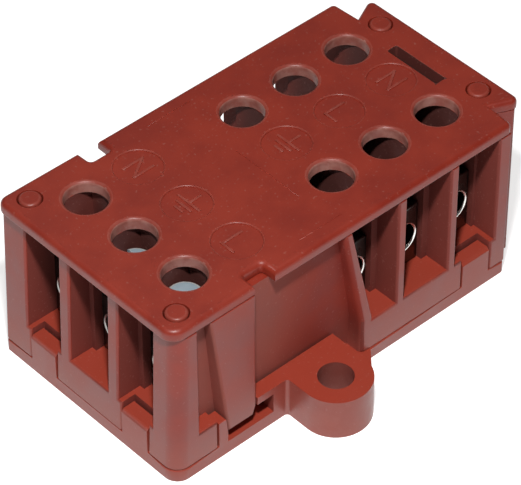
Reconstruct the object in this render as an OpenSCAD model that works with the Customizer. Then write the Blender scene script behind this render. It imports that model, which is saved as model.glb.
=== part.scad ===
// Three-pole terminal block with nine screw clamps.
// A moulded housing with open wire bays stands on a base plate with two fixing ears and is
// closed by a cover plate. Brass bars and pillars in the housing carry the clamp screws, and a
// flat strip under each pole joins its pillar to its bar.
// X runs from the three-clamp end to the dovetail tongue, Y across, Z up.
// The origin is the middle of the underside.

/* [Block] */
// Overall length, with the tongue
block_l = 58.7; // [56:0.1:66]
// Width over the long sides
block_w = 31.5; // [30:0.1:38]
// Thickness of the cover plate
cover_t = 1.6; // [1.2:0.1:2.4]
// Height of the housing
housing_h = 21.05; // [19.5:0.05:26]
// Thickness of the base plate
base_t = 1.9; // [1.4:0.1:3]
// Radius of the front corner at the three-clamp end
corner_r = 2; // [0.6:0.1:3]
// Radius of the cover's back corner at that end
cover_back_r = 1.4; // [0.6:0.1:3]
// Radius of the back corner below the cover
housing_back_r = 0.6; // [0.4:0.1:3]
// Corner radius beside the tongue
shoulder_r = 0.3; // [0.2:0.1:1.5]
// How far the three-clamp end of the housing leans in at its top
end_lean = 0.75; // [0:0.05:1]

/* [Tongue] */
// How far the dovetail tongue stands out
tongue_l = 4; // [3:0.1:6]
// Width of the tongue at its root
tongue_root_w = 22.8; // [18:0.1:24]
// Width of the tongue at its tip
tongue_tip_w = 26.9; // [20:0.1:28]
// Radius of the tongue's inner and outer corners
tongue_r = 0.4; // [0.2:0.05:0.6]
// How far the tongue below the cover stays behind the cover's tip
tongue_set = 0.5; // [0.1:0.05:0.8]

/* [Clamps] */
// Spacing of the three clamps at the end
end_pitch = 8.75; // [8.6:0.05:9.5]
// Distance from the end to its clamp screws
end_screw_inset = 8.05; // [7.5:0.05:9]
// Share of the length, without the tongue, that lies before the bays of the long sides
recess_share = 0.5148; // [0.506:0.0002:0.524]
// Distance from the leaning partition to the first clamp of the long sides
row_lead = 3.9; // [3.7:0.05:4.2]
// Distance from the last clamp of the long sides to the tongue's root
row_tail = 5.2; // [5:0.05:5.6]
// Distance from each long side to its clamp screws
row_screw_inset = 7.85; // [7.4:0.05:8.6]
// Diameter of the screw access holes in the cover
access_d = 5.5; // [5:0.1:6]
// Height of the bay floors above the underside
floor_z = 6.6; // [5.9:0.1:8]
// Depth of the wide part of each bay
bay_depth = 3.65; // [3:0.05:4]
// Distance from the end to the brass pillars
end_brass_inset = 4.65; // [4.4:0.05:5.2]
// Distance from each long side to the brass bars
row_brass_inset = 4.25; // [4.1:0.05:5]
// Thickness of the partitions at the end
end_wall_t = 1.85; // [1:0.05:2.6]
// Thickness of the partitions along the sides
row_wall_t = 1.4; // [1:0.05:2.4]
// Thickness of the column beside the last bay
last_column_t = 2.05; // [1.6:0.05:2.2]

/* [Brass] */
// Width of the bars and pillars
brass_w = 5.2; // [4.8:0.1:5.4]
// Depth of the bars and pillars below the cover's underside
brass_drop = 7.15; // [6.9:0.05:7.6]
// Length of each end pillar
pillar_l = 6.4; // [6:0.1:7]
// Diameter of the wire holes
wire_d = 4; // [3.4:0.1:4.2]
// Depth of the wire hole's axis below the brass's top
wire_drop = 4.6; // [4.5:0.1:5]
// How far the wire holes run past the screw axes
wire_overrun = 2.4; // [2.1:0.1:2.6]
// Diameter of the rivet stem under each bar and pillar
stem_d = 2.4; // [1.8:0.1:3]
// Width of the pole strips
strip_w = 4; // [3:0.1:4.6]
// Thickness of the pole strips
strip_t = 1; // [0.6:0.1:1.4]
// How far a strip runs past its stems
strip_overrun = 2; // [1.6:0.1:2.6]

/* [Screws] */
// Diameter of the screw heads
head_d = 4.6; // [4.2:0.1:4.9]
// Height of the screw heads
head_h = 2.4; // [1.8:0.1:2.6]
// Diameter of the screw shanks
shank_d = 3.4; // [3:0.1:3.6]
// Length of the screw shanks
shank_l = 4.3; // [3.8:0.1:4.3]
// Width of the driver slot
slot_w = 0.8; // [0.5:0.1:1]
// Depth of the driver slot
slot_depth = 1.1; // [0.6:0.1:1.4]
// Depth of each screw head below the cover's top, at the end
end_depths = [3.3, 4, 4.6]; // [3:0.1:4.6]
// Depth of each screw head below the cover's top, along the front
front_depths = [4.6, 4.6, 4.4]; // [3:0.1:4.6]
// Depth of each screw head below the cover's top, along the back
back_depths = [4.6, 4.6, 4.6]; // [3:0.1:4.6]
// Turn of each driver slot, at the end
end_turns = [140, 85, 135]; // [0:5:175]
// Turn of each driver slot, along the front
front_turns = [20, 85, 150]; // [0:5:175]
// Turn of each driver slot, along the back
back_turns = [110, 150, 10]; // [0:5:175]

/* [Side recess] */
// Where the recess starts, from the three-clamp end
recess_start = 3.95; // [3.5:0.05:4.5]
// Depth of the recess at its top
recess_depth_top = 1.35; // [1:0.05:2]
// Depth of the recess at its foot
recess_depth_foot = 2.5; // [2.1:0.05:2.8]
// How far the leaning partition's recess face moves from its top to its knee
lean_wall_shift = 3.1; // [2:0.1:4]
// Height of the knee below which that face is upright
lean_knee_z = 7; // [6.6:0.1:9]
// Thickness of the leaning partition at its top
lean_wall_t_top = 1.35; // [1.2:0.05:2]
// Thickness of the leaning partition at its knee
lean_wall_t_knee = 1.85; // [1.5:0.05:2.5]
// Distance from the end to the broad rib's near edge, at its top
rib_start = 5.8; // [5.5:0.05:6]
// How far the broad rib's near edge moves from top to foot
rib_shift = 2.6; // [1:0.1:3]
// Height of the broad rib's lower end above the underside
rib_foot_z = 3.5; // [3:0.1:5]
// Bevel at the broad rib's lower corner
rib_bevel = [0.5, 1.5]; // [0.2:0.1:2]
// Height of the small sill beside the broad rib
pocket_floor_z = 6.2; // [5:0.1:8]

/* [Base plate] */
// Width of the base plate's tabs
tab_w = 4.55; // [3:0.05:4.6]
// Thickness of the tabs
tab_t = 2; // [1.2:0.1:2.1]
// Height of the tabs above the underside
tab_top_z = 5.75; // [4:0.05:5.8]
// Bevel along a tab's outer edge
tab_bevel = 0.4; // [0.1:0.05:0.6]
// Distance from the end to the small tab beside the broad rib
small_tab_start = 6.85; // [6.5:0.05:7]
// Distance from the ear holes to the leaning partition's top
ear_lead = 4.45; // [4:0.05:5]
// Distance from the long side to the ear holes
ear_reach = 3.5; // [3:0.05:5]
// Outer radius of the ears
ear_r = 4.6; // [4:0.1:5]
// Diameter of the ear holes
ear_hole_d = 4.5; // [3.5:0.1:5]
// Height of the ears
ear_h = 5.9; // [4:0.1:7]
// Depth of the ear's pad inside the recess
ear_pad_depth = 2; // [1:0.05:2]
// Length of the pad's arm from the ear to the broad rib
pad_arm = 4.95; // [4.5:0.05:5.4]
// Radius between the arm and the ear
arm_r = 1.7; // [0.5:0.1:2]
// Width of the window under the arm's end
window_w = 2.7; // [1.5:0.1:4]
// Height of the bridge over the window
bridge_t = 1.1; // [0.8:0.1:1.6]
// Distance from the ear hole to where the ear's low web meets the long side
web_l = 9.15; // [8:0.05:10]

/* [Cover details] */
// Diameter of the locating pegs
peg_d = 2.8; // [2:0.1:2.9]
// How far the pegs stand above the cover
peg_proud = 0.2; // [0:0.05:0.3]
// Distance of the end pegs from the end and from the long sides
end_peg_inset = [3.05, 2.7]; // [2.4:0.05:3.2]
// Distance of the tongue's pegs from its tip
tongue_peg_inset = 2.75; // [2.4:0.05:3.4]
// Spacing of the tongue's pegs
tongue_peg_pitch = 17.2; // [14:0.1:18]
// Size of the edge notches along X and Y
edge_notch = [3.1, 2.35]; // [1.5:0.05:4]
// How far the edge notches overlap the broad rib
notch_lap = 0.15; // [0:0.05:0.5]
// Size of the slot near the tongue along X and Y
cover_slot = [1.6, 8.6]; // [1:0.1:10]
// Distance from the tongue's tip to the middle of the slot
slot_inset = 4.95; // [4.6:0.05:5.2]
// Depth of that slot below the cover's underside
slot_well = 5; // [2:0.1:8]
// Diameter of the shallow round fields for the pole signs
field_d = 6.1; // [4:0.1:6.4]
// Depth of the fields
field_depth = 0.2; // [0.05:0.05:0.3]
// Distance from the end clamps to their fields
field_offset = 8.1; // [7.5:0.1:8.5]

/* [Clearances] */
// Gap between the brass and its seat, on each side
brass_gap = 0.1; // [0.05:0.05:0.2]
// Gap between a shank and its tapped hole
thread_gap = 0.05; // [0.03:0.01:0.1]
// Gap around a peg
peg_gap = 0.2; // [0.05:0.05:0.25]
// Gap around tabs, pads and strips
fit_gap = 0.15; // [0.1:0.05:0.25]

/* [Hidden] */
$fn = 64;

// Overlap of a cut past the face that it opens
cut = 1;

// Heights of the parting planes
top_z = base_t + housing_h;
block_h = top_z + cover_t;

// Lengthwise places, measured from the three-clamp end
end_x = -block_l / 2;
tip_x = block_l / 2;
side_y = block_w / 2;
main_end_x = tip_x - tongue_l;
low_tip_x = tip_x - tongue_set;

// Flank of the tongue: its slope, and half the angle between it and the tip or the shoulder
flank_slope = (tongue_tip_w - tongue_root_w) / 2 / tongue_l;
half_angle = (90 - atan(flank_slope)) / 2;
function flank_y(x) = tongue_root_w / 2 + (x - main_end_x) * flank_slope;

// The leaning partition, as places at its top and at its knee
lean_far_top_x = end_x + (main_end_x - end_x) * recess_share;
lean_top_x = lean_far_top_x - lean_wall_t_top;
lean_knee_x = lean_top_x + lean_wall_shift;
lean_far_knee_x = lean_knee_x + lean_wall_t_knee;

// Clamps: three at the end and three along each long side
clamps = 3;
end_screw_x = end_x + end_screw_inset;
row_pitch = (main_end_x - row_tail - lean_far_top_x - row_lead) / (clamps - 1);
row_screw_y = side_y - row_screw_inset;
row_brass_y = side_y - row_brass_inset;
function row_x(i) = lean_far_top_x + row_lead + i * row_pitch;
function end_y(i) = (i - 1) * end_pitch;

// Seats of the brass
seat_w = brass_w + 2 * brass_gap;
brass_top_z = top_z - brass_drop;
wire_z = brass_top_z - wire_drop;
pillar_x0 = end_x + end_brass_inset;

// Bays at the end: the middle one and the outer ones
end_bay_w = end_pitch - end_wall_t;
outer_bay_y0 = end_pitch / 2 + end_wall_t / 2;
outer_bay_y1 = end_pitch + seat_w / 2;

// Bays along the sides
row_bay_w = row_pitch - row_wall_t;
function row_bay_x0(i) = row_x(i) - row_bay_w / 2;
function row_bay_x1(i) = i == 2 ? main_end_x - last_column_t : row_x(i) + row_bay_w / 2;

// Ears
ear_x = lean_top_x - ear_lead;
ear_y = side_y + ear_reach;
web_run = [web_l, ear_reach];
web_angle = atan2(web_run[1], web_run[0]) - acos(ear_r / norm(web_run));
web_touch = [ear_x + ear_r * cos(web_angle), -ear_y + ear_r * sin(web_angle)];

// The broad rib
rib_x1 = ear_x - ear_r - pad_arm;
function rib_x0(z) = end_x + rib_start + rib_shift * (top_z - z) / (top_z - rib_foot_z);

// Tabs of the base plate
end_tab_y = (outer_bay_y0 + outer_bay_y1) / 2;
tab_slot_t = tab_t + 2 * fit_gap;
small_tab_x0 = end_x + small_tab_start;

// Pole strips lie on the base plate
strip_top_z = base_t + strip_t;
strip_x0 = end_screw_x - strip_overrun;

plastic = [0.57, 0.24, 0.18];
brass = [0.74, 0.72, 0.68];
zinc = [0.72, 0.74, 0.76];

// Extrudes a profile drawn in X and Z along Y, from y0 to y1
module along_y(y0, y1) {
    translate([0, y1, 0]) rotate([90, 0, 0]) linear_extrude(y1 - y0) children();
}

// Extrudes a profile drawn in Y and Z along X, from x0 to x1
module along_x(x0, x1) {
    translate([x0, 0, 0]) rotate([90, 0, 90]) linear_extrude(x1 - x0) children();
}

module box(low, high) {
    translate(low) cube(high - low);
}

// Draws its children on both long sides
module both_sides() {
    children();
    mirror([0, 1, 0]) children();
}

// Square corner pieces that turn a rectangle's corner into a round one
module corner_waste(x, y, r, side) {
    translate([x, y]) difference() {
        translate([side > 0 ? -r : -cut, -r]) square([r + cut, r + cut]);
        translate([-side * r, -r]) circle(r);
    }
}

// Rounds the two corners at the three-clamp end of a flat shape
module end_corners(back_r) {
    difference() {
        children();
        corner_waste(end_x, side_y, back_r, -1);
        mirror([0, 1]) corner_waste(end_x, side_y, corner_r, -1);
    }
}

// Dovetail tongue up to tip, with rounded corners
module tongue(tip) {
    run = tongue_r / tan(half_angle);
    touch = [cos(90 - 2 * half_angle), sin(90 - 2 * half_angle)] * run;
    tip_y = flank_y(tip);
    polygon([
        [main_end_x - tongue_l, -tongue_root_w / 2], [main_end_x, -tongue_root_w / 2],
        [tip - touch[0], -tip_y + touch[1]], [tip, -tip_y + run],
        [tip, tip_y - run], [tip - touch[0], tip_y - touch[1]],
        [main_end_x, tongue_root_w / 2], [main_end_x - tongue_l, tongue_root_w / 2]
    ]);
    both_sides() {
        translate([tip - tongue_r, tip_y - run]) circle(tongue_r);
        // Fillet between the shoulder and the flank
        translate([main_end_x, tongue_root_w / 2]) difference() {
            polygon([[0, 0], touch, [tongue_r, run], [0, run]]);
            translate([tongue_r, run]) circle(tongue_r);
        }
    }
}

// Outline of the block before its end corners are rounded
module block_outline(tip) {
    difference() {
        translate([end_x, -side_y]) square([main_end_x - end_x, block_w]);
        both_sides() corner_waste(main_end_x, side_y, shoulder_r, 1);
    }
    tongue(tip);
}

// Places of the four locating pegs
module at_pegs() {
    both_sides() {
        translate([end_x + end_peg_inset[0], side_y - end_peg_inset[1]]) children();
        translate([tip_x - tongue_peg_inset, tongue_peg_pitch / 2]) children();
    }
}

// Places of the nine clamp screws
module at_screws() {
    for (i = [0:2]) {
        translate([end_screw_x, end_y(i)]) children();
        for (y = [-row_screw_y, row_screw_y]) translate([row_x(i), y]) children();
    }
}

// Places of the six sign fields
module at_fields() {
    for (i = [0:2]) {
        translate([end_screw_x + field_offset, end_y(i)]) children();
        translate([row_x(i), 0]) children();
    }
}

// Narrow slot through the cover into the housing
module slot_cut() {
    translate([tip_x - slot_inset - cover_slot[0] / 2, -cover_slot[1] / 2, top_z - slot_well])
        cube([cover_slot[0], cover_slot[1], slot_well + cover_t + cut]);
}

module cover_plate() {
    color(plastic) difference() {
        translate([0, 0, top_z]) linear_extrude(cover_t) end_corners(cover_back_r) block_outline(tip_x);
        translate([0, 0, top_z - cut]) {
            at_screws() cylinder(d = access_d, h = cover_t + 2 * cut);
            at_pegs() cylinder(d = peg_d + 2 * peg_gap, h = cover_t + 2 * cut);
            both_sides() translate([rib_x1 - notch_lap, side_y - edge_notch[1]])
                cube([edge_notch[0], edge_notch[1] + cut, cover_t + 2 * cut]);
        }
        slot_cut();
        translate([0, 0, block_h - field_depth]) at_fields() cylinder(d = field_d, h = cut);
    }
}

// Block with a leaning end, before its hollows are cut
module housing_blank() {
    intersection() {
        translate([0, 0, base_t]) linear_extrude(housing_h) block_outline(low_tip_x);
        translate([end_x, 0, base_t]) rotate([0, atan(end_lean / housing_h), 0])
            translate([-end_x, 0, -block_h]) linear_extrude(3 * block_h) end_corners(housing_back_r)
            translate([end_x, -side_y]) square([2 * block_l, block_w]);
    }
}

// The three bays at the end, with the seats of their brass pillars
module end_bays() {
    bay_x1 = end_x + bay_depth;
    for (i = [0:2])
        box([bay_x1 - cut, end_y(i) - seat_w / 2, floor_z],
            [pillar_x0 + pillar_l + brass_gap, end_y(i) + seat_w / 2, top_z + cut]);
    box([end_x - cut, -end_bay_w / 2, floor_z], [bay_x1, end_bay_w / 2, top_z + cut]);
    both_sides() {
        box([end_x - cut, outer_bay_y0, floor_z], [bay_x1, outer_bay_y1, top_z + cut]);
        // Slot for the base plate's tab in the bay floor
        box([end_x - cut, end_tab_y - tab_w / 2 - fit_gap, base_t - cut],
            [end_x + tab_slot_t, end_tab_y + tab_w / 2 + fit_gap, floor_z + cut]);
    }
}

// The bays along the sides, with the cross slots of their brass bars
module row_bays() {
    bay_y = side_y - bay_depth;
    for (i = [0:2])
        box([row_x(i) - seat_w / 2, -bay_y - cut, floor_z],
            [row_x(i) + seat_w / 2, bay_y + cut, top_z + cut]);
    both_sides() {
        along_y(-side_y - cut, -bay_y) polygon([
            [lean_far_knee_x, floor_z], [row_bay_x1(0), floor_z], [row_bay_x1(0), top_z + cut],
            [lean_far_top_x, top_z + cut], [lean_far_top_x, top_z], [lean_far_knee_x, lean_knee_z]
        ]);
        for (i = [1:2])
            box([row_bay_x0(i), -side_y - cut, floor_z], [row_bay_x1(i), -bay_y, top_z + cut]);
        // Slot for the base plate's tab in the last bay's floor
        box([row_x(2) - tab_w / 2 - fit_gap, -side_y - cut, base_t - cut],
            [row_x(2) + tab_w / 2 + fit_gap, -side_y + tab_slot_t, floor_z + cut]);
    }
}

// Recess in a long side: it runs to the leaning partition, and the broad rib stands in it
module side_recess() {
    x0 = end_x + recess_start;
    wall_foot_y = -side_y + recess_depth_foot;
    wall_top_y = -side_y + recess_depth_top;
    difference() {
        intersection() {
            along_y(-side_y - cut, -side_y + 2 * recess_depth_foot) polygon([
                [x0, base_t - cut], [lean_knee_x, base_t - cut], [lean_knee_x, lean_knee_z],
                [lean_top_x, top_z], [lean_top_x, top_z + cut], [x0, top_z + cut]
            ]);
            along_x(x0 - cut, lean_knee_x + cut) polygon([
                [-side_y - cut, base_t - cut], [wall_foot_y, base_t - cut], [wall_foot_y, base_t],
                [wall_top_y, top_z], [wall_top_y, top_z + cut], [-side_y - cut, top_z + cut]
            ]);
        }
        along_y(-side_y - 2 * cut, -side_y + 3 * recess_depth_foot) polygon([
            [rib_x0(top_z + 2 * cut), top_z + 2 * cut], [rib_x0(rib_foot_z), rib_foot_z],
            [rib_x1 - rib_bevel[0], rib_foot_z], [rib_x1, rib_foot_z + rib_bevel[1]],
            [rib_x1, top_z + 2 * cut]
        ]);
        box([x0 - cut, -side_y - 2 * cut, base_t - 2 * cut],
            [small_tab_x0 - fit_gap, -side_y + 2 * recess_depth_foot, pocket_floor_z]);
    }
}

// Channel under the floor for a pole strip, and the holes for its stems
module strip_channel(y, last_x) {
    box([strip_x0 - fit_gap, y - strip_w / 2 - fit_gap, base_t - cut],
        [last_x + strip_overrun + fit_gap, y + strip_w / 2 + fit_gap, strip_top_z + fit_gap]);
    for (x = [end_screw_x, last_x])
        translate([x, y, base_t]) cylinder(d = stem_d + 2 * brass_gap, h = floor_z);
}

module housing() {
    color(plastic) {
        difference() {
            housing_blank();
            end_bays();
            row_bays();
            both_sides() side_recess();
            slot_cut();
            strip_channel(end_y(0), row_x(1));
            strip_channel(end_y(1), row_x(0));
            strip_channel(end_y(2), row_x(2));
        }
        translate([0, 0, top_z - cut]) at_pegs() cylinder(d = peg_d, h = cover_t + peg_proud + cut);
    }
}

// Profile of a tab, drawn inwards and upwards from its outer face
module tab_profile() {
    polygon([
        [0, base_t - cut], [0, tab_top_z - tab_bevel], [tab_bevel, tab_top_z],
        [tab_t, tab_top_z], [tab_t, base_t - cut]
    ]);
}

// Tabs that stand up from the base plate into the housing
module tabs() {
    along_y(end_tab_y - tab_w / 2, end_tab_y + tab_w / 2) translate([end_x, 0]) tab_profile();
    along_x(row_x(2) - tab_w / 2, row_x(2) + tab_w / 2)
        mirror([1, 0]) translate([-side_y, 0]) tab_profile();
    along_y(side_y - tab_t, side_y) polygon([
        [small_tab_x0, base_t - cut], [rib_x0(rib_foot_z) - fit_gap, base_t - cut],
        [rib_x0(rib_foot_z) - fit_gap, rib_foot_z], [rib_x0(tab_top_z) - fit_gap, tab_top_z],
        [small_tab_x0, tab_top_z]
    ]);
}

// One fixing ear at the front: a lug, its pad in the recess and a low web beside it
module ear() {
    difference() {
        union() {
            translate([ear_x, -ear_y]) cylinder(r = ear_r, h = ear_h);
            // Fillet between the arm and the ear
            linear_extrude(ear_h) translate([ear_x - ear_r - arm_r, -side_y - arm_r]) difference() {
                square(arm_r);
                circle(arm_r);
            }
            box([ear_x - ear_r, -ear_y, 0], [ear_x + ear_r, -side_y + ear_pad_depth, ear_h]);
            difference() {
                box([rib_x1 + fit_gap, -side_y, base_t - cut], [ear_x, -side_y + ear_pad_depth, ear_h]);
                box([rib_x1, -side_y - cut, base_t], [rib_x1 + window_w, side_y, ear_h - bridge_t]);
            }
            linear_extrude(base_t) polygon([
                [ear_x, -side_y + cut], [ear_x + web_l, -side_y + cut], [ear_x + web_l, -side_y],
                web_touch, [ear_x, -ear_y]
            ]);
        }
        translate([ear_x, -ear_y, -cut]) cylinder(d = ear_hole_d, h = ear_h + 2 * cut);
    }
}

module base_plate() {
    color(plastic) {
        linear_extrude(base_t) end_corners(housing_back_r) block_outline(low_tip_x);
        both_sides() {
            tabs();
            ear();
        }
    }
}

module pole_strip(y, last_x) {
    color(brass)
        box([strip_x0, y - strip_w / 2, base_t], [last_x + strip_overrun, y + strip_w / 2, strip_top_z]);
}

module earth_strip() pole_strip(end_y(1), row_x(0));
module line_strip() pole_strip(end_y(0), row_x(1));
module neutral_strip() pole_strip(end_y(2), row_x(2));

// Rivet stem from the underside of a bar or pillar down to its strip
module stem(x, y) {
    root = (wire_z - wire_d / 2 - floor_z) / 2;
    translate([x, y, strip_top_z]) cylinder(d = stem_d, h = floor_z - strip_top_z + root);
}

// Tapped hole from the top of the brass into the wire hole
module tapped_hole(x, y) {
    translate([x, y, wire_z]) cylinder(d = shank_d + 2 * thread_gap, h = wire_drop + cut);
}

// Cross bar with a clamp at each end; its stem stands at stem_y
module cross_bar(i, stem_y) {
    x = row_x(i);
    hole_l = row_brass_y - row_screw_y + wire_overrun;
    color(brass) {
        difference() {
            box([x - brass_w / 2, -row_brass_y, floor_z], [x + brass_w / 2, row_brass_y, brass_top_z]);
            both_sides() {
                translate([x, -row_brass_y + hole_l, wire_z]) rotate([90, 0, 0])
                    cylinder(d = wire_d, h = hole_l + cut);
                tapped_hole(x, -row_screw_y);
            }
        }
        stem(x, stem_y);
    }
}

module earth_bar() cross_bar(0, end_y(1));
module line_bar() cross_bar(1, end_y(0));
module neutral_bar() cross_bar(2, end_y(2));

// Pillar with one clamp at the end
module end_pillar(i) {
    hole_l = end_screw_inset - end_brass_inset + wire_overrun;
    color(brass) {
        difference() {
            box([pillar_x0, end_y(i) - brass_w / 2, floor_z],
                [pillar_x0 + pillar_l, end_y(i) + brass_w / 2, brass_top_z]);
            translate([pillar_x0 - cut, end_y(i), wire_z]) rotate([0, 90, 0])
                cylinder(d = wire_d, h = hole_l + cut);
            tapped_hole(end_screw_x, end_y(i));
        }
        stem(end_screw_x, end_y(i));
    }
}

module line_pillar() end_pillar(0);
module earth_pillar() end_pillar(1);
module neutral_pillar() end_pillar(2);

// Clamp screw with a slotted head; depth is measured from the cover's top
module clamp_screw(x, y, depth, turn) {
    color(zinc) translate([x, y, block_h - depth]) rotate(turn) difference() {
        union() {
            translate([0, 0, -head_h]) cylinder(d = head_d, h = head_h);
            translate([0, 0, -head_h - shank_l]) cylinder(d = shank_d, h = shank_l);
        }
        translate([-head_d, -slot_w / 2, -slot_depth]) cube([2 * head_d, slot_w, slot_depth + cut]);
    }
}

module end_screw(i) clamp_screw(end_screw_x, end_y(i), end_depths[i], end_turns[i]);
module front_screw(i) clamp_screw(row_x(i), -row_screw_y, front_depths[i], front_turns[i]);
module back_screw(i) clamp_screw(row_x(i), row_screw_y, back_depths[i], back_turns[i]);

cover_plate();
housing();
base_plate();
earth_strip();
line_strip();
neutral_strip();
earth_bar();
line_bar();
neutral_bar();
line_pillar();
earth_pillar();
neutral_pillar();
end_screw(0);  // end_screw_1
end_screw(1);  // end_screw_2
end_screw(2);  // end_screw_3
front_screw(0);  // front_screw_1
front_screw(1);  // front_screw_2
front_screw(2);  // front_screw_3
back_screw(0);  // back_screw_1
back_screw(1);  // back_screw_2
back_screw(2);  // back_screw_3
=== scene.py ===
# %% [markdown]
# # A three-pole terminal strip
# The real object is a brown-red moulded block, about 59 mm long, that joins mains wires. A wire
# goes into a bay in the side, and a screw reached through the cover clamps it in a plated brass
# bar. The solids come from the CAD frame, so their sizes are settled. They could be shown as they
# are, but they have knife edges and one plain colour. This lesson gives copies of them rounded
# edges, small moulded detail and finishes, and adds light and a camera.

# %% Load the frame
from math import pi, radians

import bmesh
import bpy
from mathutils import Matrix, Quaternion, Vector


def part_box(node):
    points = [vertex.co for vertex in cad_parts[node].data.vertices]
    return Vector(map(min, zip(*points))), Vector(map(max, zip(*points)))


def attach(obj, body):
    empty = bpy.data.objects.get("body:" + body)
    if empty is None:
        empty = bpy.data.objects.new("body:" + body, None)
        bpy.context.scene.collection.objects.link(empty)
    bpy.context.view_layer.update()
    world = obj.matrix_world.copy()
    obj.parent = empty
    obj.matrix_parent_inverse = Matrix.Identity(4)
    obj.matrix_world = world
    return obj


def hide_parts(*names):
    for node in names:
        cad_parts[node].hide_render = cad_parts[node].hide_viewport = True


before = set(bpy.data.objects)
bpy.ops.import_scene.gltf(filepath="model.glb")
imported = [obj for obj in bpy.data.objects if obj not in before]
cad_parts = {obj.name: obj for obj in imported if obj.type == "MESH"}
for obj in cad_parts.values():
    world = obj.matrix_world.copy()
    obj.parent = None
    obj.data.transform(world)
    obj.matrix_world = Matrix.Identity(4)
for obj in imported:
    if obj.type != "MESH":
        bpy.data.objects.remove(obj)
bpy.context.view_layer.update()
MM = 0.001
BLOCK = "block"


# %% [markdown]
# ## The camera
# The photograph looks down on one corner of the block from about 40 cm, with a long lens. The
# camera could be placed by eye. Here its place, the point it looks at and its small roll were
# solved from the edges and holes of the block, so the render can be laid over the picture. The
# lens is set by its focal length in pixels of the 521 pixel wide frame.

# %% Place the camera
PHOTO_W = 521
FOCAL_PX = 3255.3
SENSOR_W = 36.0
NEAR_CLIP, FAR_CLIP = 0.01, 100.0
CAMERA_AT = Vector((-197.05, -215.42, 281.05)) * MM
CAMERA_AIM = Vector((-2.334, -0.849, 12.0)) * MM
CAMERA_ROLL = radians(-0.21)


def put_in_scene(name, data):
    thing = bpy.data.objects.new(name, data)
    bpy.context.scene.collection.objects.link(thing)
    return thing


lens = bpy.data.cameras.new("camera")
lens.sensor_width = SENSOR_W
lens.lens = FOCAL_PX * SENSOR_W / PHOTO_W
lens.clip_start, lens.clip_end = NEAR_CLIP, FAR_CLIP
camera = put_in_scene("camera", lens)
view = CAMERA_AIM - CAMERA_AT
turn = view.to_track_quat("-Z", "Y") @ Quaternion((0, 0, 1), CAMERA_ROLL)
camera.matrix_world = Matrix.Translation(CAMERA_AT) @ turn.to_matrix().to_4x4()
bpy.context.scene.camera = camera
print("lens: %.1f mm, distance: %.3f m" % (lens.lens, view.length))

# %% [markdown]
# ## Shared node helpers
# Each finish is a tree of nodes. It could be put together by hand in the shader editor, but a
# script can be run again. A few small helpers add a noise, a range, a sum or a blend, so that a
# finish reads as a list of what goes into it. Colours are written as screen values and turned
# into the linear values that nodes take.

# %% Helpers for colours and values
def linear(r, g, b):
    """A colour in 0 to 255 screen values, as linear values (the sRGB curve)."""
    channels = [c / 255 for c in (r, g, b)]
    return [c / 12.92 if c <= 0.04045 else ((c + 0.055) / 1.055) ** 2.4 for c in channels] + [1.0]


def add_node(tree, kind, **settings):
    node = tree.nodes.new(kind)
    for name, value in settings.items():
        setattr(node, name, value)
    return node


def noise(tree, place, scale, detail=2.0, roughness=0.5):
    node = add_node(tree, "ShaderNodeTexNoise")
    node.inputs["Scale"].default_value = scale
    node.inputs["Detail"].default_value = detail
    node.inputs["Roughness"].default_value = roughness
    tree.links.new(place, node.inputs["Vector"])
    return node.outputs["Fac"]


def spread(tree, value, low, high, to_low=0.0, to_high=1.0):
    """Stretches the range low to high of a value to the range to_low to to_high."""
    node = add_node(tree, "ShaderNodeMapRange", interpolation_type="SMOOTHSTEP")
    ranges = {"From Min": low, "From Max": high, "To Min": to_low, "To Max": to_high}
    for name, number in ranges.items():
        node.inputs[name].default_value = number
    tree.links.new(value, node.inputs["Value"])
    return node.outputs["Result"]


print("one grey, as linear values:", [round(c, 3) for c in linear(128, 128, 128)])

# %% [markdown]
# ## Sums, blends and new finishes
# A sum or a blend takes either a plain number or colour, or the output of another node. A new
# finish starts from Blender's own surface shader. Its patterns could follow an unwrapped map, but
# Object coordinates need none, and a pattern keeps its place on a piece that moves.

# %% Helpers for blends and finishes
MIX_A, MIX_B, MIX_RESULT = 6, 7, 2  # the Mix node's sockets for colours


def maths(tree, operation, *values):
    node = add_node(tree, "ShaderNodeMath", operation=operation)
    for socket, value in zip(node.inputs, values):
        if isinstance(value, (int, float)):
            socket.default_value = value
        else:
            tree.links.new(value, socket)
    return node.outputs[0]


def blend_colour(tree, share, colour_a, colour_b):
    node = add_node(tree, "ShaderNodeMix", data_type="RGBA")
    tree.links.new(share, node.inputs["Factor"])
    for socket, colour in ((node.inputs[MIX_A], colour_a), (node.inputs[MIX_B], colour_b)):
        if isinstance(colour, list):
            socket.default_value = colour
        else:
            tree.links.new(colour, socket)
    return node.outputs[MIX_RESULT]


def face_mark(tree, name):
    return add_node(tree, "ShaderNodeAttribute", attribute_name=name).outputs["Fac"]


def new_finish(name):
    material = bpy.data.materials.new(name)
    material.use_nodes = True
    tree = material.node_tree
    shader = tree.nodes["Principled BSDF"]
    place = add_node(tree, "ShaderNodeTexCoord").outputs["Object"]
    return material, tree, shader, place


print("helpers ready:", [f.__name__ for f in (maths, blend_colour, face_mark, new_finish)])

# %% [markdown]
# ## Grain that all the finishes share
# A moulded or plated surface is never one even tone. It has broad cloudy patches, fine specks and
# a very fine unevenness that breaks up the shine. Each finish could have its own noises, but one
# node group makes all three for every finish, and each finish uses its own share of them.

# %% The surface grain group
CLOUD_SCALE, SPECK_SCALE, FINE_SCALE = 140.0, 2600.0, 5200.0
CLOUD_RANGE, SPECK_RANGE = (0.3, 0.7), (0.66, 0.76)

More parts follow.
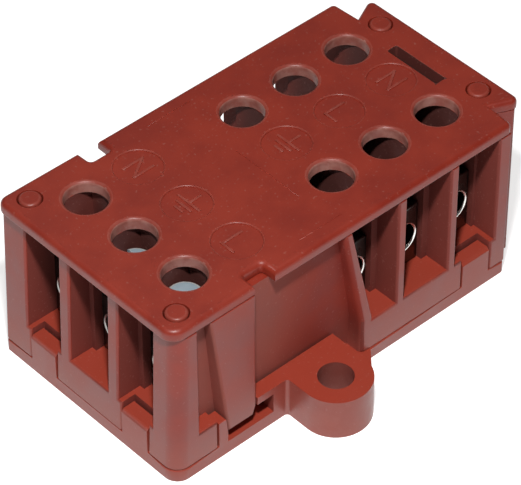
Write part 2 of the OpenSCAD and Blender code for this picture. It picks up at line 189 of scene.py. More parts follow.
grain = bpy.data.node_groups.new("surface_grain", "ShaderNodeTree")
grain.interface.new_socket("Place", in_out="INPUT", socket_type="NodeSocketVector")
for label in ("Cloud", "Speck", "Fine"):
    grain.interface.new_socket(label, in_out="OUTPUT", socket_type="NodeSocketFloat")
entry = add_node(grain, "NodeGroupInput").outputs["Place"]
ends = add_node(grain, "NodeGroupOutput")
cloudy = noise(grain, entry, CLOUD_SCALE, detail=5.0, roughness=0.62)
specked = noise(grain, entry, SPECK_SCALE, detail=1.0)
grain.links.new(spread(grain, cloudy, *CLOUD_RANGE), ends.inputs["Cloud"])
grain.links.new(spread(grain, specked, *SPECK_RANGE), ends.inputs["Speck"])
grain.links.new(noise(grain, entry, FINE_SCALE), ends.inputs["Fine"])


def use_grain(tree, place):
    node = add_node(tree, "ShaderNodeGroup", node_tree=grain)
    tree.links.new(place, node.inputs["Place"])
    return node.outputs


def uneven(tree, shader, height, strength, depth):
    """Lets a height value tilt the surface very slightly."""
    bump = add_node(tree, "ShaderNodeBump")
    bump.inputs["Strength"].default_value = strength
    bump.inputs["Distance"].default_value = depth
    tree.links.new(height, bump.inputs["Height"])
    tree.links.new(bump.outputs["Normal"], shader.inputs["Normal"])


print("grain group outputs:", [s.name for s in ends.inputs if s.name])

# %% [markdown]
# ## The moulded plastic
# The block is a phenolic or glass-filled moulding: brown-red, satin, with pale specks from its
# filler and slightly rubbed edges. Most of the grey bloom on its upright faces is the white table
# mirrored in the satin surface, which a plain shader over a white floor gives from any side. A
# little more of this sheen, on the near end and at the foot, is painted in: the colour there is
# blended towards pale by place.

# %% The plastic's red and its painted sheen
DARK_RED, LIGHT_RED, PALE = linear(134, 38, 24), linear(150, 47, 29), linear(184, 136, 124)
END_PAINTED_SHEEN, END_FROM, END_TO = 0.025, 5 * MM, -28 * MM
FOOT_PAINTED_SHEEN, FOOT_FROM, FOOT_TO = 0.2, 10 * MM, 1 * MM

plastic, tree, shader, place = new_finish("red_moulding")
marks = use_grain(tree, place)
axes = add_node(tree, "ShaderNodeSeparateXYZ")
tree.links.new(place, axes.inputs["Vector"])
along, across, height = [axes.outputs[axis] for axis in "XYZ"]

tone = blend_colour(tree, marks["Cloud"], DARK_RED, LIGHT_RED)
# Painted sheen: the near end and the foot blend a little towards pale, as more table sheen.
at_end = spread(tree, along, END_FROM, END_TO, 0.0, END_PAINTED_SHEEN)
at_foot = spread(tree, height, FOOT_FROM, FOOT_TO, 0.0, FOOT_PAINTED_SHEEN)
tone = blend_colour(tree, maths(tree, "ADD", at_end, at_foot), tone, PALE)
print("finish begun:", plastic.name)

# %% [markdown]
# ## Ledges, inner walls and edges: painted light, shade and sheen
# The rest of the plastic's look depends on what a face is. It could be painted by hand, but the
# pieces carry face marks named ledge, inside, sheltered and wear_and_sheen, and a finish that reads
# them fits every piece. A ledge faces up and gets a brighter red, painted light; the walls inside a
# bay or a hole get painted shade, darker with depth; a sheltered wall is less polished and gets a
# painted sheen, paler towards the near end; and an edge marked wear_and_sheen is pale in patches,
# partly wear and partly painted sheen.

# %% The plastic's face marks
PAINTED_LIT_RED, PAINTED_SHADE_RED, PAINTED_DEEP_SHADE = linear(163, 63, 46), linear(130, 54, 44), linear(84, 38, 32)
HALF_L, HALF_W = 29.35 * MM, 15.75 * MM
RECESS_PAINTED_SHEEN, RECESS_SHEEN_FROM, RECESS_SHEEN_TO = 0.22, -4 * MM, -16 * MM
SHADE_FROM_DEPTH, SHADE_FULL_DEPTH = 1.5 * MM, 7 * MM
PATCH_SCALE, PATCH_RANGE, PATCH_SHARE = 700.0, (0.35, 0.65), (0.5, 1.0)
SPECK_SHARE = 0.18
SATIN_RANGE, UNPOLISHED = (0.36, 0.46), 0.35

sheltered, inside = face_mark(tree, "sheltered"), face_mark(tree, "inside")
# Painted sheen: walls marked sheltered (the recess walls) grow paler towards the near end.
recess_sheen = spread(tree, along, RECESS_SHEEN_FROM, RECESS_SHEEN_TO, 0.0, RECESS_PAINTED_SHEEN)
tone = blend_colour(tree, maths(tree, "MULTIPLY", sheltered, recess_sheen), tone, PALE)
# Painted light: ledges face up, so they get a brighter red.
tone = blend_colour(tree, face_mark(tree, "ledge"), tone, PAINTED_LIT_RED)
# Painted shade: faces marked inside grow darker with depth into the block.
from_end = maths(tree, "ADD", along, HALF_L)
from_side = maths(tree, "SUBTRACT", HALF_W, maths(tree, "ABSOLUTE", across))
painted_shade_share = spread(tree, maths(tree, "MINIMUM", from_end, from_side), SHADE_FROM_DEPTH, SHADE_FULL_DEPTH)
tone = blend_colour(tree, inside, tone, blend_colour(tree, painted_shade_share, PAINTED_SHADE_RED, PAINTED_DEEP_SHADE))
patches = spread(tree, noise(tree, place, PATCH_SCALE, detail=3.0), *PATCH_RANGE, *PATCH_SHARE)
# Pale patches on marked faces: wear on edges, painted sheen on the screw holes' walls.
wear_and_sheen_patches = maths(tree, "MULTIPLY", face_mark(tree, "wear_and_sheen"), patches)
tone = blend_colour(tree, wear_and_sheen_patches, tone, PALE)
tone = blend_colour(tree, maths(tree, "MULTIPLY", marks["Speck"], SPECK_SHARE), tone, PALE)
tree.links.new(tone, shader.inputs["Base Color"])
satin = spread(tree, marks["Cloud"], 0.0, 1.0, *SATIN_RANGE)
unpolished = maths(tree, "MULTIPLY", maths(tree, "MAXIMUM", sheltered, inside), UNPOLISHED)
tree.links.new(maths(tree, "ADD", satin, unpolished), shader.inputs["Roughness"])
uneven(tree, shader, marks["Fine"], strength=0.35, depth=0.02 * MM)
print("finish:", plastic.name, "nodes:", len(tree.nodes))

# %% [markdown]
# ## The plated metals
# The clamps are brass with a nickel plating, and the screws are zinc plated steel, paler and a
# little bluer. The nickel is coloured dark as painted shade, for the shade deep in the bays where
# the clamps sit. One grey could serve for both, but a metal's colour is the colour of its mirror
# image, so each has its own pair of tones. The zinc has a dull skin that scatters light, so it
# counts as metal only in part. Cloudy roughness keeps both from looking like a perfect mirror,
# and an edge marked wear_and_sheen is blended to near white as a painted glint.

# %% The metal finishes
PAINTED_GLINT_WHITE = linear(238, 238, 234)


def plated(name, bright, dull, smooth, rough, metal=1.0):
    material, tree, shader, place = new_finish(name)
    shader.inputs["Metallic"].default_value = metal
    marks = use_grain(tree, place)
    tone = blend_colour(tree, marks["Cloud"], dull, bright)
    # Painted glint: faces marked wear_and_sheen are blended to near white.
    tone = blend_colour(tree, face_mark(tree, "wear_and_sheen"), tone, PAINTED_GLINT_WHITE)
    tree.links.new(tone, shader.inputs["Base Color"])
    polish = spread(tree, marks["Cloud"], 0.0, 1.0, rough, smooth)
    tree.links.new(polish, shader.inputs["Roughness"])
    uneven(tree, shader, marks["Fine"], strength=0.2, depth=0.01 * MM)
    print("finish:", material.name)
    return material


# Painted shade: the nickel's two tones are dark for the shade deep in the bays.
nickel = plated("nickel_plating", bright=linear(92, 90, 87), dull=linear(64, 62, 60),
                smooth=0.16, rough=0.3)
zinc = plated("zinc_plating", bright=linear(214, 236, 246), dull=linear(182, 204, 216),
              smooth=0.35, rough=0.5, metal=0.6)

# %% [markdown]
# ## Copies with rounded edges
# A CAD solid has knife edges, and a moulding never has. A Bevel modifier could round every edge
# alike. Instead each visible solid is copied, its loose triangles are merged into whole faces,
# and edges are picked by their place and bevelled, so the cover's rim can be rounder than the
# edge of a screw hole. The face marks that the finishes read are set here too.

# %% Tools for rounding edges
MERGE_UP_TO, FLAT_UP_TO = 0.02 * MM, radians(0.5)
SHARP_FROM = radians(45)
UPRIGHT_FROM = 0.9


def merged_copy(node):
    bm = bmesh.new()
    bm.from_mesh(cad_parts[node].data)
    bmesh.ops.remove_doubles(bm, verts=bm.verts, dist=MERGE_UP_TO)
    bmesh.ops.dissolve_limit(bm, angle_limit=FLAT_UP_TO, verts=bm.verts, edges=bm.edges)
    bm.faces.layers.float.new("wear_and_sheen")
    return bm


def middle(edge):
    return (edge.verts[0].co + edge.verts[1].co) / (2 * MM)


def upright(edge):
    run = (edge.verts[0].co - edge.verts[1].co).normalized()
    return abs(run.z) > UPRIGHT_FROM


def pick(bm, test, convex=True):
    """Sharp edges, outer or inner ones, whose middle in millimetres passes a test."""
    sharp = [e for e in bm.edges if e.is_manifold and e.calc_face_angle() > SHARP_FROM]
    return [e for e in sharp if e.is_convex == convex and test(middle(e), e)]


def round_off(bm, label, edges, radius, segments, wear_and_sheen=0.0, clamp=True):
    """Bevels edges to a radius in millimetres and gives the new faces a wear_and_sheen value."""
    count = len(edges)
    made = bmesh.ops.bevel(bm, geom=edges, offset=radius * MM, offset_type="OFFSET",
                           affect="EDGES", segments=segments, profile=0.5, material=-1,
                           clamp_overlap=clamp)
    layer = bm.faces.layers.float["wear_and_sheen"]
    for face in made["faces"]:
        face[layer] = max(face[layer], wear_and_sheen)
    print("  %s: %d edges" % (label, count))


def mark(bm, name, worth):
    """Gives each face a number, which the finish reads by its name."""
    layer = bm.faces.layers.float.get(name) or bm.faces.layers.float.new(name)
    for face in bm.faces:
        face[layer] = max(face[layer], worth(face))


print("edges count as sharp from %.0f degrees" % (SHARP_FROM * 180 / pi))

# %% [markdown]
# ## Repairs before a bevel
# A bevel breaks where a round corner is tighter than the bevel, or where a flat face's inner
# joining edge ends at a corner. The outline could be drawn again, but three small helpers mend it
# in place: a corner is scaled from its tip, drawn together to one point, or freed of a joining
# edge, which moves on to the next corner.

# %% Tools for corners
FLAT_ANGLE = 0.01


def scale_corner(bm, corner, reach, share):
    """Makes a round corner on both long sides wider or tighter, from its tip."""
    for side in (1, -1):
        tip = Vector((corner.x, side * corner.y, 0)) * MM
        round_part = [v for v in bm.verts if (v.co.xy - tip.xy).length < reach * MM]
        bmesh.ops.scale(bm, vec=(share, share, 1), space=Matrix.Translation(-tip), verts=round_part)


def sharpen_corner(bm, corner, reach, levels):
    """Draws a round corner on both long sides together to one point on each level."""
    for tip in [Vector((corner.x, side * corner.y, z)) * MM for side in (1, -1) for z in levels]:
        round_part = [v for v in bm.verts if (v.co - tip).length < reach * MM]
        bmesh.ops.pointmerge(bm, verts=round_part, merge_co=tip)


def move_stray_edges(bm, corner_edges, outwards):
    """Moves a flat face's joining edge from a corner to the next corner of the outline."""
    for corner in [vert for edge in corner_edges for vert in edge.verts]:
        for stray in [e for e in corner.link_edges if e.calc_face_angle(0) < FLAT_ANGLE]:
            outline = [e for e in corner.link_edges if e is not stray and not upright(e)]
            target = max([e.other_vert(corner) for e in outline], key=outwards)
            bmesh.ops.connect_verts(bm, verts=[stray.other_vert(corner), target])
            bmesh.ops.dissolve_edges(bm, edges=[stray])


print("corner tools:", [f.__name__ for f in (scale_corner, sharpen_corner, move_stray_edges)])

# %% [markdown]
# ## From a bmesh to a piece
# A finished piece needs a mesh, a finish, a body to ride on and the CAD nodes it stands for.
# Faces are shaded smooth and sharper edges are kept hard. Rounded strips beside large flat faces
# would tilt the shading of the flats; a Weighted Normal modifier lets the large faces win.

# %% The finishing step
SMOOTH_UP_TO = radians(50)
TINY = 0.0002 * MM


def finished(name, bm, material, body, slot, *nodes):
    """Turns a bmesh into a piece that rides on a body and stands for its CAD nodes."""
    mesh = bpy.data.meshes.new(name)
    bmesh.ops.dissolve_degenerate(bm, dist=TINY, edges=bm.edges)
    bm.normal_update()
    for face in bm.faces:
        face.smooth = True
    for edge in bm.edges:
        edge.smooth = edge.is_manifold and edge.calc_face_angle() < SMOOTH_UP_TO
    bm.to_mesh(mesh)
    bm.free()
    mesh.materials.append(material)
    piece = put_in_scene(name, mesh)
    weigh = piece.modifiers.new("flat_faces", "WEIGHTED_NORMAL")
    weigh.keep_sharp = True
    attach(piece, body)
    if nodes:
        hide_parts(*nodes)
    print(name, "faces:", len(mesh.polygons))


print("edges stay hard from %.0f degrees" % (SMOOTH_UP_TO * 180 / pi))

# %% [markdown]
# ## What is where on the cover
# The cover has nine screw holes, four holes for pegs, a narrow slot and six shallow round fields.
# Lists of edges could be kept, but they change with every bevel. Tests by place don't: the rim is
# every upper edge that lies outside all the holes.

# %% Places on the cover
ROW_X, ROW_Y, END_ROW_X, END_ROW_Y = (2.71, 11.43, 20.15), 7.9, -21.3, (-8.75, 0.0, 8.75)
SCREWS = [Vector((END_ROW_X, y)) for y in END_ROW_Y]
SCREWS += [Vector((x, y)) for x in ROW_X for y in (-ROW_Y, ROW_Y)]
PEGS = [Vector((x, s * y)) for x, y in ((-26.3, 13.05), (26.6, 8.6)) for s in (-1, 1)]
END_FIELDS, ROW_FIELDS = [Vector((-13.2, y)) for y in END_ROW_Y], [Vector((x, 0.0)) for x in ROW_X]
FIELDS = END_FIELDS + ROW_FIELDS
ACCESS_R, PEG_R, FIELD_R = 2.75, 1.6, 3.05
SLOT_X, SLOT_Y = (23.5, 25.3), 4.4
HOLE_SLACK, FIELD_SLACK = 0.35, 0.05
SAME_LEVEL = 0.03
cover_low, cover_high = [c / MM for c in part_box("cover_plate")]
top_z, under_z = cover_high.z, cover_low.z


def near(point, places, radius, slack=HOLE_SLACK):
    return any((point.xy - p).length < radius + slack for p in places)


def at_screw(point):
    return near(point, SCREWS, ACCESS_R)


def in_slot(point):
    return SLOT_X[0] < point.x < SLOT_X[1] and abs(point.y) < SLOT_Y


def at_rim(point):
    at_hole = at_screw(point) or near(point, PEGS, PEG_R) or in_slot(point)
    return not (at_hole or near(point, FIELDS, FIELD_R, FIELD_SLACK))


def on_top(point):
    return abs(point.z - top_z) < SAME_LEVEL


print("cover from %.2f to %.2f mm, screw holes: %d" % (under_z, top_z, len(SCREWS)))

# %% [markdown]
# ## The cover plate
# The cover is a flat plate pressed over four pegs. Its rim is well rounded, the screw holes have
# a smaller rounding, their walls get a painted pale sheen and some painted shade, and the notches
# in its long edges have round inner corners. One radius for all would be quicker, but these
# differences are what makes it look moulded. Upright corners are bevelled before the rim, so
# that the rim runs round them.

# %% Round the cover
SHOULDER, TONGUE_TIP = Vector((25.35, 15.75)), Vector((29.35, 13.45))
TONGUE_ROOT = Vector((25.62, 11.68))
SHOULDER_REACH, TIP_REACH, ROOT_REACH = 0.31, 0.67, 0.55
HOLE_WALL_SHEEN, HOLE_SHADE, SLOT_SHADE = 0.6, 0.25, 0.9
NOTCH_Y, WALL_UP_TO = 12, 0.5
NOTCH_R, SLOT_CORNER_R, UPPER_RIM_R, LOWER_RIM_R = 0.5, 0.3, 0.7, 0.22
SCREW_RIM_R, PEG_RIM_R, SLOT_RIM_R, FIELD_RIM_R = 0.45, 0.1, 0.12, 0.19


def face_middle(face):
    return face.calc_center_median() / MM


def is_wall(face):
    return abs(face.normal.z) < WALL_UP_TO


def hole_wall(face):
    return is_wall(face) and at_screw(face_middle(face))


def slot_wall(face):
    return is_wall(face) and in_slot(face_middle(face))


bm = merged_copy("cover_plate")
sharpen_corner(bm, TONGUE_ROOT, ROOT_REACH, (under_z, top_z))
scale_corner(bm, SHOULDER, SHOULDER_REACH, share=2.5)
scale_corner(bm, TONGUE_TIP, TIP_REACH, share=2.0)
# Painted sheen and shade: the screw holes' walls blend towards pale and a little to shade.
mark(bm, "wear_and_sheen", lambda face: HOLE_WALL_SHEEN * hole_wall(face))
mark(bm, "inside", lambda face: HOLE_SHADE * hole_wall(face) + SLOT_SHADE * slot_wall(face))
notches = pick(bm, lambda p, e: upright(e) and abs(p.y) > NOTCH_Y, convex=False)
move_stray_edges(bm, notches, lambda vert: abs(vert.co.y))
round_off(bm, "notch corners", notches, NOTCH_R, segments=4)
slot_corners = pick(bm, lambda p, e: upright(e) and in_slot(p), convex=False)
round_off(bm, "slot corners", slot_corners, SLOT_CORNER_R, segments=3)
upper_rim = pick(bm, lambda p, e: on_top(p) and at_rim(p))
round_off(bm, "upper rim", upper_rim, UPPER_RIM_R, segments=6, clamp=False)
lower_rim = pick(bm, lambda p, e: p.z < under_z + SAME_LEVEL and at_rim(p))
round_off(bm, "lower rim", lower_rim, LOWER_RIM_R, segments=3, clamp=False)
screw_holes = pick(bm, lambda p, e: on_top(p) and at_screw(p))
round_off(bm, "screw holes", screw_holes, SCREW_RIM_R, segments=5, wear_and_sheen=0.15, clamp=False)
peg_holes = pick(bm, lambda p, e: on_top(p) and near(p, PEGS, PEG_R))
round_off(bm, "peg holes", peg_holes, PEG_RIM_R, segments=2, wear_and_sheen=0.1)
slot_rim = pick(bm, lambda p, e: on_top(p) and in_slot(p))
round_off(bm, "slot rim", slot_rim, SLOT_RIM_R, segments=2, wear_and_sheen=0.1)
field_rims = pick(bm, lambda p, e: on_top(p) and near(p, FIELDS, FIELD_R))
round_off(bm, "sign fields", field_rims, FIELD_RIM_R, segments=4, wear_and_sheen=0.1)
finished("cover", bm, plastic, BLOCK, "plastic", "cover_plate")

# %% [markdown]
# ## What is where on the housing
# The housing is the deep moulding with the wire bays. Its outer faces are the long sides and the
# near end, which leans a little. Between the corner column and the leaning partition each side
# has a recess. As on the cover, small tests by place tell these parts from one another.

# %% Places on the housing
SIDE_Y, END_X, MAIN_END_X = 15.75, -29.35, 25.35
SIDE_BAND, END_LEAN, END_BAND = 0.4, 0.8, 1.15
COLUMN_X, CORNER_X, CORNER_Y, RECESS_Y = -25.4, -26.4, 13.6, 12.9
KNEE_X, KNEE_Z, LEAN_X = 0.56, 7.0, (-2.7, -0.2)
CLOSE, LOOSE = 0.05, 0.1
foot_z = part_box("housing")[0].z / MM


def below_cover(point):
    return foot_z + CLOSE < point.z < under_z - CLOSE


def on_side(point):
    return abs(point.y) > SIDE_Y - CLOSE and below_cover(point)


def on_end(point):
    return point.x < END_X + END_LEAN and below_cover(point)


def at_corner(point):
    return point.x < CORNER_X and abs(point.y) > CORNER_Y


def in_recess(point):
    return COLUMN_X - LOOSE < point.x < KNEE_X + LOOSE and abs(point.y) > RECESS_Y


def lean_edge(point, edge):
    """The leaning partition's edge on the recess side, above and below its knee."""
    above = point.z > KNEE_Z and LEAN_X[0] < point.x < LEAN_X[1]
    below = point.z < KNEE_Z and abs(point.x - KNEE_X) < LOOSE
    return on_side(point) and upright(edge) and (above or below)


def joint(point, edge):
    """An outer edge along the cover or the base plate, where the parting line shows."""
    at_side, at_end = abs(point.y) > SIDE_Y - SIDE_BAND, point.x < END_X + END_BAND
    level = not below_cover(point) and point.z < under_z + CLOSE
    return level and (at_side or at_end or at_corner(point))


print("housing from %.2f to %.2f mm" % (foot_z, under_z))

# %% [markdown]
# ## The housing
# The bays could be cut again here, but the solid has them, so only its edges are worked on. Light
# catches the front edges of the partitions, so those are rounded most. Edges that lie against the
# cover or the base plate get a small rounding, which shows as the fine dark parting line. Edges
# deep inside are hardly seen and stay as they are. Bay walls, recess walls and bay floors get
# their face marks last, when the new narrow faces are there too.

# %% Round the housing
LEAN_R, FRONT_R, END_R, JOINT_R, PEG_TOP_R = 0.7, 0.42, 0.6, 0.2, 0.35
FLOOR_FROM = 0.9


def bay_wall(face):
    point = face_middle(face)
    front = on_side(point) or on_end(point) or at_corner(point)
    outer = front or in_recess(point) or point.x > MAIN_END_X - LOOSE
    return below_cover(point) and is_wall(face) and not outer


def recess_wall(face):
    point = face_middle(face)
    return in_recess(point) and below_cover(point) and not on_side(point) and is_wall(face)


def bay_floor(face):
    return face.normal.z > FLOOR_FROM and below_cover(face_middle(face))


bm = merged_copy("housing")
round_off(bm, "leaning partition", pick(bm, lean_edge), LEAN_R, segments=5)
round_off(bm, "front edges", pick(bm, lambda p, e: on_side(p)), FRONT_R, segments=4)
end_edges = pick(bm, lambda p, e: on_end(p))
move_stray_edges(bm, [edge for edge in end_edges if upright(edge)], lambda vert: -vert.co.x)
round_off(bm, "end edges", end_edges, END_R, segments=5)
round_off(bm, "joints", pick(bm, joint), JOINT_R, segments=3, clamp=False)
peg_tops = pick(bm, lambda p, e: p.z > top_z)
round_off(bm, "pegs", peg_tops, PEG_TOP_R, segments=4, wear_and_sheen=0.1)
# Painted shade on the bay walls, painted sheen on the recess walls, painted light on the floors.
mark(bm, "inside", bay_wall)
mark(bm, "sheltered", recess_wall)
mark(bm, "ledge", bay_floor)
finished("case", bm, plastic, BLOCK, "plastic", "housing")

# %% [markdown]
# ## The base plate and its ears
# The base plate closes the housing from below. Its two ears take the fixing screws, and its small
# tabs show in the bay floors. The plate's upper edge is rounded most, so that a parting line
# shows all round; the ears are nearly sharp, as on the real one. The corner between arm and ear
# could be drawn anew. Scaling it makes it tighter and keeps the ear's hole as it is.

# %% Round the base plate
EAR_FROM_Y = SIDE_Y + CLOSE
EAR_CORNER, EAR_CORNER_REACH = Vector((-11.59, 15.75)), 1.71
EAR_HOLE, EAR_HOLE_REACH = Vector((-7.0, 19.25)), 2.5
WINDOW_X, WINDOW_TOP_Z, TAB_Z = (-20, -12), 5.5, 2.5
PLATE_RIM_R, TAB_R, EAR_R, UNDERSIDE_R = 0.38, 0.15, 0.08, 0.15
LEDGE_TOP, LEDGE_SIDE, HOLLOW_SHADE, EAR_RUB = 1.0, 0.3, 0.8, 0.12


def on_plate(point):
    return abs(point.y) < EAR_FROM_Y


def on_ear(point):
    return abs(point.y) > EAR_FROM_Y


def hollow(face):
    """The wall of an ear's hole, or of the window below the arm that carries the ear."""
    point = face_middle(face)
    in_hole = (Vector((point.x, abs(point.y))) - EAR_HOLE).length < EAR_HOLE_REACH
    low = foot_z + LOOSE < point.z < WINDOW_TOP_Z and abs(point.y) < SIDE_Y - CLOSE
    in_window = low and WINDOW_X[0] < point.x < WINDOW_X[1]
    return face.normal.z < WALL_UP_TO and (in_hole or in_window)


bm = merged_copy("base_plate")
scale_corner(bm, SHOULDER, SHOULDER_REACH, share=1.7)
scale_corner(bm, EAR_CORNER, EAR_CORNER_REACH, share=0.3)
plate_rim = pick(bm, lambda p, e: abs(p.z - foot_z) < SAME_LEVEL and on_plate(p))
round_off(bm, "plate rim", plate_rim, PLATE_RIM_R, segments=4)
tabs = pick(bm, lambda p, e: on_plate(p) and p.z > TAB_Z)
round_off(bm, "tabs", tabs, TAB_R, segments=3, wear_and_sheen=0.1)
ears = pick(bm, lambda p, e: on_ear(p) and p.z > foot_z - LOOSE)
round_off(bm, "ears", ears, EAR_R, segments=2)
round_off(bm, "underside", pick(bm, lambda p, e: p.z < CLOSE), UNDERSIDE_R, segments=2)
# Painted light: faces that point up get the brighter red in full; the plate's other faces get a
# third of it.
mark(bm, "ledge", lambda face: LEDGE_TOP if face.normal.z > WALL_UP_TO else LEDGE_SIDE)
mark(bm, "inside", lambda face: HOLLOW_SHADE * hollow(face))
mark(bm, "wear_and_sheen", lambda face: EAR_RUB * (is_wall(face) and on_ear(face_middle(face))))
finished("base", bm, plastic, BLOCK, "plastic", "base_plate")

# %% [markdown]
# ## The clamps
# The bars and pillars are cut from drawn brass and tumbled before plating, so their edges are
# slightly round. They sit deep in the bays. All their edges could be bright, but it is the rims
# of their wire holes that catch the light there, so only the rims get a painted glint, full on
# the bars and weaker on the pillars. A rim is many short edges and the box has long ones, so
# their length tells them apart. The flat strips below are hidden and only take the finish.

# %% Round the brass
BRASS_R, BRASS_FOOT_Z, ON_SKIN, RIM_STEP = 0.3, 6.5, 0.02, 1.0 * MM
BAR_RIM_GLINT, PILLAR_RIM_GLINT = 1.0, 0.35
CLAMPS = [(pole + "_bar", BAR_RIM_GLINT) for pole in ("earth", "line", "neutral")]
CLAMPS += [(pole + "_pillar", PILLAR_RIM_GLINT) for pole in ("line", "earth", "neutral")]


def skin_edges(bm, low, high):
    """Sharp edges on the sides of a clamp's box, without those between its inner holes."""
    def on_skin(point, edge):
        return point.z > BRASS_FOOT_Z and min(*(point - low), *(high - point)) < ON_SKIN
    return pick(bm, on_skin)


for node, rim_glint in CLAMPS:
    low, high = [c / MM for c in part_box(node)]
    bm = merged_copy(node)
    rims = [edge for edge in skin_edges(bm, low, high) if edge.calc_length() < RIM_STEP]
    round_off(bm, "hole rims", rims, BRASS_R, segments=4, wear_and_sheen=rim_glint, clamp=False)
    round_off(bm, "box edges", skin_edges(bm, low, high), BRASS_R, segments=4, clamp=False)
    finished(node + "_plated", bm, nickel, BLOCK, "brass", node)
for node in ("earth_strip", "line_strip", "neutral_strip"):
    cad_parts[node].data.materials.clear()
    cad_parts[node].data.materials.append(nickel)

# %% [markdown]
# ## The clamp screws
# Each screw has a cheese head with a slot and a rounded rim. A thread could be left to a bump in
# the finish, but then its outline would be smooth. Here a small triangle is spun round the shank
# while it climbs. It stays inside the tapped hole's clearance, so the screw can travel.

# %% Make the screws
PITCH, THREAD_TURNS, STEPS = 0.7, 5, 24
ROOT_R, CREST_R, RIDGE_HALF, THREAD_START = 1.6, 1.735, 0.3, 0.4
TOP_WITHIN, HEAD_RIM_FROM, HEAD_RIM_R, SLOT_EDGE_R = 0.02, 2.0, 0.4, 0.06
EDGE_SHINE = 1.0


def thread(bm, axis, low_z):
    """A helical ridge round a shank, spun from one triangle."""
    profile = [(ROOT_R, RIDGE_HALF), (CREST_R, 0.0), (ROOT_R, -RIDGE_HALF)]
    spots = [(axis.x * MM + r * MM, axis.y * MM, (low_z + h) * MM) for r, h in profile]
    verts = [bm.verts.new(spot) for spot in spots]
    face = bm.faces.new(verts)
    bmesh.ops.spin(bm, geom=[face] + list(face.edges) + verts, axis=(0, 0, 1),
                   cent=Vector((axis.x, axis.y, 0)) * MM, dvec=(0, 0, PITCH * MM / STEPS),
                   angle=2 * pi * THREAD_TURNS, steps=STEPS * THREAD_TURNS,
                   use_merge=False, use_duplicate=False)


def slotted_screw(node):
    low, high = [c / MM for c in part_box(node)]
    axis = (low + high) / 2
    bm = merged_copy(node)

    def on_head(point, edge):
        return abs(point.z - high.z) < TOP_WITHIN

    def on_head_rim(point, edge):
        return on_head(point, edge) and (point.xy - axis.xy).length > HEAD_RIM_FROM

    round_off(bm, "head rim", pick(bm, on_head_rim), HEAD_RIM_R, segments=3, wear_and_sheen=EDGE_SHINE)
    round_off(bm, "slot edges", pick(bm, on_head), SLOT_EDGE_R, segments=1, wear_and_sheen=EDGE_SHINE)
    thread(bm, axis, low.z + THREAD_START)
    finished(node + "_slotted", bm, zinc, node, "steel", node)


for row in ("end", "front", "back"):
    for number in (1, 2, 3):
        slotted_screw("%s_screw_%d" % (row, number))

# %% [markdown]
# ## Pole signs
# Six shallow round fields in the cover carry plain pole signs: earth, L and N. They are moulded,
# a tenth of a millimetre high. Painted on, they would stay flat, so each is a few small bars with
# softened tops that stand on the field's floor. The bars of a sign differ a little in height, so
# that no two tops lie in one plane.

# %% Make the signs
FIELD_DEPTH, SUNK = 0.2, 0.05
STROKE_W, STROKE_H, STROKE_STEP, STROKE_R = 0.34, 0.12, 0.006, 0.05
UPPER_WITHIN, SIGN_RUB = 0.001, 0.15
SIGNS = {
    "earth": [((0, 0.3), (0, 2.1)), ((-1.8, 0.3), (1.8, 0.3)),
              ((-1.2, -0.5), (1.2, -0.5)), ((-0.6, -1.3), (0.6, -1.3))],
    "line": [((-0.9, 1.5), (-0.9, -1.5)), ((-0.9, -1.5), (1.0, -1.5))],
    "neutral": [((-1.0, -1.5), (-1.0, 1.5)), ((-1.0, 1.5), (1.0, -1.5)),
                ((1.0, -1.5), (1.0, 1.5))],
}
field_floor = top_z - FIELD_DEPTH


def stroke(bm, start, end, width, low_z, high_z):
    """A bar from start to end, both in millimetres in the plan, with softened upper edges."""
    run = end - start
    size = Matrix.Diagonal((run.length + width, width, high_z - low_z, 1.0))
    spot = Matrix.Translation(((start + end) / 2).to_3d() + Vector((0, 0, (low_z + high_z) / 2)))
    way = run.to_3d().angle(Vector((1, 0, 0))) * (1 if run.y >= 0 else -1)
    turned = Matrix.Rotation(way, 4, "Z")
    bar = Matrix.Scale(MM, 4) @ spot @ turned @ size
    made = bmesh.ops.create_cube(bm, size=1.0, matrix=bar)
    edges = {e for v in made["verts"] for e in v.link_edges}
    upper = [e for e in edges if middle(e).z > high_z - UPPER_WITHIN]
    bmesh.ops.bevel(bm, geom=upper, offset=STROKE_R * MM, offset_type="OFFSET", affect="EDGES",
                    segments=2, profile=0.5, material=-1, clamp_overlap=True)


def sign(name, kind, centre):
    bm = bmesh.new()
    for number, (start, end) in enumerate(SIGNS[kind]):
        flat = [centre + Vector((up, -right)) for right, up in (start, end)]
        high = field_floor + STROKE_H + number * STROKE_STEP
        stroke(bm, flat[0], flat[1], STROKE_W, field_floor - SUNK, high)
    mark(bm, "wear_and_sheen", lambda face: SIGN_RUB)
    finished(name, bm, plastic, BLOCK, "plastic")


for kind, centre in zip(("line", "earth", "neutral"), END_FIELDS):
    sign(kind + "_end_sign", kind, centre)
for kind, centre in zip(("earth", "line", "neutral"), ROW_FIELDS):
    sign(kind + "_row_sign", kind, centre)

# %% [markdown]
# ## Mould lines
# The cover was moulded in a tool with inserts, and the joints between the inserts left a few hair
# lines on it. They could be a bump in the finish, but the bar that makes the signs also makes a
# very low ridge, which keeps its place in an exported mesh.

# %% Make the mould lines
MOULD_LINES = [((-7.5, 13.6), (-0.9, 13.6)), ((-7.8, -13.6), (-1.2, -13.6)),
               ((-2.7, 3.0), (-2.7, -8.0))]
LINE_W, LINE_H = 0.16, 0.04

bm = bmesh.new()
for start, end in MOULD_LINES:
    stroke(bm, Vector(start), Vector(end), LINE_W, top_z - SUNK, top_z + LINE_H)
finished("mould_lines", bm, plastic, BLOCK, "plastic")

# %% [markdown]
# ## The floor
# The block lies on a plain white table. A floor lit until it is white would need too much light
# on the block. Instead the floor glows a little, but only for rays from the camera and for mirror
# images, so it looks white there and still takes the block's shadow.

# %% The floor
FLOOR_SIZE, FLOOR_GLOW = 20.0, 0.7
TABLE_GREY = linear(232, 232, 232)

floor_mesh = bpy.data.meshes.new("floor")
bm = bmesh.new()
bmesh.ops.create_grid(bm, x_segments=1, y_segments=1, size=FLOOR_SIZE)
bm.to_mesh(floor_mesh)
bm.free()
floor = put_in_scene("floor", floor_mesh)

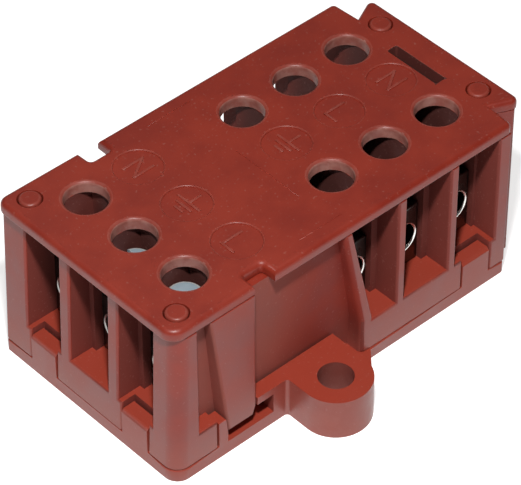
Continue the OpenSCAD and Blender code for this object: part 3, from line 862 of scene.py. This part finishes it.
table = bpy.data.materials.new("white_table")
table.use_nodes = True
tree = table.node_tree
matte = tree.nodes["Principled BSDF"]
matte.inputs["Base Color"].default_value = TABLE_GREY
matte.inputs["Roughness"].default_value = 1.0
matte.inputs["Specular IOR Level"].default_value = 0.0
glow = add_node(tree, "ShaderNodeEmission")
ray = add_node(tree, "ShaderNodeLightPath").outputs
mirrored = maths(tree, "MAXIMUM", ray["Is Glossy Ray"], ray["Is Transmission Ray"])
seen = maths(tree, "MAXIMUM", ray["Is Camera Ray"], mirrored)
tree.links.new(maths(tree, "MULTIPLY", seen, FLOOR_GLOW), glow.inputs["Strength"])
both = add_node(tree, "ShaderNodeAddShader")
tree.links.new(matte.outputs[0], both.inputs[0])
tree.links.new(glow.outputs[0], both.inputs[1])
tree.links.new(both.outputs[0], tree.nodes["Material Output"].inputs["Surface"])
floor_mesh.materials.append(table)
print("floor:", table.name)

# %% [markdown]
# ## The light
# One small hard lamp hangs near the camera's side, higher up, and throws the crisp shadows in the
# bays. A broad, weak window light comes from behind, and a faint even light from all round. One
# soft lamp would be simpler, but it would wash out the shadows that show the depth of the bays.

# %% The lamps
LAMP_TOWARDS = Vector((-0.435, -0.4545, 1.0)).normalized()
LAMP_DISTANCE, LAMP_SIZE, LAMP_LEVEL = 0.25, 0.02, 0.9
LAMP_AIM = Vector((0, 0, 0.02))
WINDOW_TOWARDS = Vector((0.36, 0.38, 0.85)).normalized()
WINDOW_DISTANCE, WINDOW_SIZE, WINDOW_LEVEL = 0.9, 1.0, 0.2
WINDOW_COLOUR = (1.0, 0.97, 0.92)
EVEN_LIGHT, EVEN_COLOUR = 0.08, (1.0, 1.0, 1.0, 1.0)


def area_lamp(name, shape, size, energy, towards, spot):
    data = bpy.data.lights.new(name, "AREA")
    data.shape, data.size, data.energy = shape, size, energy
    lamp = put_in_scene(name, data)
    turn = towards.to_track_quat("Z", "Y").to_matrix().to_4x4()
    lamp.matrix_world = Matrix.Translation(spot) @ turn
    print("%s: %.2f W" % (name, data.energy))
    return data


area_lamp("hard_lamp", "DISK", LAMP_SIZE, LAMP_LEVEL * pi * pi * LAMP_DISTANCE ** 2,
          LAMP_TOWARDS, LAMP_TOWARDS * LAMP_DISTANCE + LAMP_AIM)
window = area_lamp("window", "SQUARE", WINDOW_SIZE, WINDOW_LEVEL * pi * WINDOW_SIZE ** 2,
                   WINDOW_TOWARDS, WINDOW_TOWARDS * WINDOW_DISTANCE)
window.color = WINDOW_COLOUR

world = bpy.data.worlds.new("even_light")
bpy.context.scene.world = world
world.use_nodes = True
background = world.node_tree.nodes["Background"]
background.inputs["Color"].default_value = EVEN_COLOUR
background.inputs["Strength"].default_value = EVEN_LIGHT
bpy.context.scene.view_settings.view_transform = "Standard"
print("even light:", EVEN_LIGHT)
